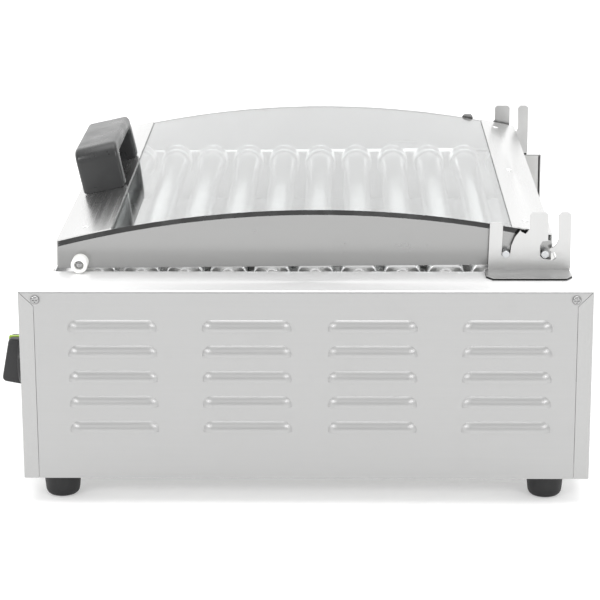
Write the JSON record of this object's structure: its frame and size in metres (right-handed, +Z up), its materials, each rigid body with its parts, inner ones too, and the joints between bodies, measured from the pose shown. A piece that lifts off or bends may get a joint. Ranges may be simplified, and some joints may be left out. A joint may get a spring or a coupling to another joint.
{
  "type": "hot dog roller grill",
  "caption": "Counter-top roller grill for sausages with louvred steel housings, chromed heated rollers, a pull-out drip tray and a curved glass lid on a lift-off rear hinge.",
  "frame": {"origin": "middle of the body in plan, on the surface that the grill stands on", "axes": "+X along the rollers to the operator's right, -Y to the operator, +Z up"},
  "size_m": [0.5744, 0.501, 0.2474],
  "materials": {
    "sheet_steel": "satin",
    "bright_steel": "bright",
    "roller_chrome": "hard chrome",
    "dark_steel": "oiled",
    "painted_motor": "semi-gloss",
    "white_ptfe": "waxy",
    "black_rubber": "matt",
    "black_plastic": "fine texture",
    "red_plastic": "gloss",
    "amber_plastic": "gloss",
    "grey_plastic": "satin",
    "clear_glass": "tempered, polished"
  },
  "bodies": {
    "lid": {"lid_plate_right": "sheet_steel", "lid_plate_left": "sheet_steel", "lid_glass": "clear_glass", "lid_front_strip": "sheet_steel", "lid_rear_strip": "sheet_steel", "lid_handle": "grey_plastic", "lid_pins": "bright_steel", "lid_bumpers": "white_ptfe", "bumper_screws": "dark_steel", "lid_rivets": "bright_steel"},
    "tray": {"drip_tray": "bright_steel"},
    "knob_right": {"thermostat_knob_right": "black_plastic"},
    "knob_left": {"thermostat_knob_left": "black_plastic"},
    "rocker": {"power_rocker": "red_plastic"},
    "motor_drive": {"motor_sprocket": "dark_steel"},
    "idler": {"idler_sprocket": "dark_steel"},
    "roller_01_unit": {"roller_01": "roller_chrome", "roller_sprocket_01": "dark_steel"},
    "roller_02_unit": {"roller_02": "roller_chrome", "roller_sprocket_02": "dark_steel"},
    "roller_03_unit": {"roller_03": "roller_chrome", "roller_sprocket_03": "dark_steel"},
    "roller_04_unit": {"roller_04": "roller_chrome", "roller_sprocket_04": "dark_steel"},
    "roller_05_unit": {"roller_05": "roller_chrome", "roller_sprocket_05": "dark_steel"},
    "roller_06_unit": {"roller_06": "roller_chrome", "roller_sprocket_06": "dark_steel"},
    "roller_07_unit": {"roller_07": "roller_chrome", "roller_sprocket_07": "dark_steel"},
    "roller_08_unit": {"roller_08": "roller_chrome", "roller_sprocket_08": "dark_steel"},
    "roller_09_unit": {"roller_09": "roller_chrome", "roller_sprocket_09": "dark_steel"},
    "roller_10_unit": {"roller_10": "roller_chrome", "roller_sprocket_10": "dark_steel"},
    "roller_11_unit": {"roller_11": "roller_chrome", "roller_sprocket_11": "dark_steel"},
    "base": {"base_plate": "sheet_steel", "bay_floor": "sheet_steel", "bearing_plate_left": "sheet_steel", "bearing_plate_right": "sheet_steel", "cable_gland": "black_plastic", "cover_screws": "bright_steel", "drive_chain": "dark_steel", "end_collars": "bright_steel", "front_panel": "sheet_steel", "gear_motor": "painted_motor", "heating_rods": "bright_steel", "hinge_bracket_left": "sheet_steel", "hinge_bracket_right": "sheet_steel", "idler_pin": "bright_steel", "indicator_lamps": "amber_plastic", "rear_panel": "sheet_steel", "rocker_housing": "black_plastic", "roller_bushes": "white_ptfe", "rubber_feet": "black_rubber", "side_cover_left": "sheet_steel", "side_cover_right": "sheet_steel", "thermostats": "painted_motor"}
  },
  "joints": [
    {"name": "lid_hinge", "type": "hinge", "parent": "base", "child": "lid", "pos_m": [0, 0.19, 0.1912], "axis": [-1, 0, 0], "range_deg": [0, 60]},
    {"name": "tray_slide", "type": "slide", "parent": "base", "child": "tray", "axis": [0, -1, 0], "range_m": [0, 0.38]},
    {"name": "knob_right_turn", "type": "hinge", "parent": "base", "child": "knob_right", "pos_m": [0.2, -0.235, 0.095], "axis": [0, 1, 0], "range_deg": [0, 270]},
    {"name": "knob_left_turn", "type": "hinge", "parent": "base", "child": "knob_left", "pos_m": [0.08, -0.235, 0.095], "axis": [0, 1, 0], "range_deg": [0, 270]},
    {"name": "rocker_tip", "type": "hinge", "parent": "base", "child": "rocker", "pos_m": [0.14, -0.224, 0.088], "axis": [1, 0, 0], "range_deg": [0, 16]},
    {"name": "roller_01_spin", "type": "hinge", "parent": "base", "child": "roller_01_unit", "pos_m": [0, -0.168, 0.1698], "axis": [1, 0, 0], "continuous": true},
    {"name": "roller_02_spin", "type": "hinge", "parent": "base", "child": "roller_02_unit", "pos_m": [0, -0.133, 0.1698], "axis": [1, 0, 0], "continuous": true},
    {"name": "roller_03_spin", "type": "hinge", "parent": "base", "child": "roller_03_unit", "pos_m": [0, -0.098, 0.1698], "axis": [1, 0, 0], "continuous": true},
    {"name": "roller_04_spin", "type": "hinge", "parent": "base", "child": "roller_04_unit", "pos_m": [0, -0.063, 0.1698], "axis": [1, 0, 0], "continuous": true},
    {"name": "roller_05_spin", "type": "hinge", "parent": "base", "child": "roller_05_unit", "pos_m": [0, -0.028, 0.1698], "axis": [1, 0, 0], "continuous": true},
    {"name": "roller_06_spin", "type": "hinge", "parent": "base", "child": "roller_06_unit", "pos_m": [0, 0.007, 0.1698], "axis": [1, 0, 0], "continuous": true},
    {"name": "roller_07_spin", "type": "hinge", "parent": "base", "child": "roller_07_unit", "pos_m": [0, 0.042, 0.1698], "axis": [1, 0, 0], "continuous": true},
    {"name": "roller_08_spin", "type": "hinge", "parent": "base", "child": "roller_08_unit", "pos_m": [0, 0.077, 0.1698], "axis": [1, 0, 0], "continuous": true},
    {"name": "roller_09_spin", "type": "hinge", "parent": "base", "child": "roller_09_unit", "pos_m": [0, 0.112, 0.1698], "axis": [1, 0, 0], "continuous": true},
    {"name": "roller_10_spin", "type": "hinge", "parent": "base", "child": "roller_10_unit", "pos_m": [0, 0.147, 0.1698], "axis": [1, 0, 0], "continuous": true},
    {"name": "roller_11_spin", "type": "hinge", "parent": "base", "child": "roller_11_unit", "pos_m": [0, 0.182, 0.1698], "axis": [1, 0, 0], "continuous": true},
    {"name": "motor_spin", "type": "hinge", "parent": "base", "child": "motor_drive", "pos_m": [0.2385, 0.19, 0.15034], "axis": [1, 0, 0], "continuous": true},
    {"name": "idler_spin", "type": "hinge", "parent": "base", "child": "idler", "pos_m": [0.2385, -0.172, 0.15034], "axis": [1, 0, 0], "continuous": true}
  ],
  "couplings": [
    {"joint": "roller_01_spin", "follows": "roller_06_spin", "ratio": 1},
    {"joint": "roller_02_spin", "follows": "roller_06_spin", "ratio": 1},
    {"joint": "roller_03_spin", "follows": "roller_06_spin", "ratio": 1},
    {"joint": "roller_04_spin", "follows": "roller_06_spin", "ratio": 1},
    {"joint": "roller_05_spin", "follows": "roller_06_spin", "ratio": 1},
    {"joint": "roller_07_spin", "follows": "roller_06_spin", "ratio": 1},
    {"joint": "roller_08_spin", "follows": "roller_06_spin", "ratio": 1},
    {"joint": "roller_09_spin", "follows": "roller_06_spin", "ratio": 1},
    {"joint": "roller_10_spin", "follows": "roller_06_spin", "ratio": 1},
    {"joint": "roller_11_spin", "follows": "roller_06_spin", "ratio": 1},
    {"joint": "motor_spin", "follows": "roller_06_spin", "ratio": -0.375},
    {"joint": "idler_spin", "follows": "roller_06_spin", "ratio": -0.375}
  ]
}
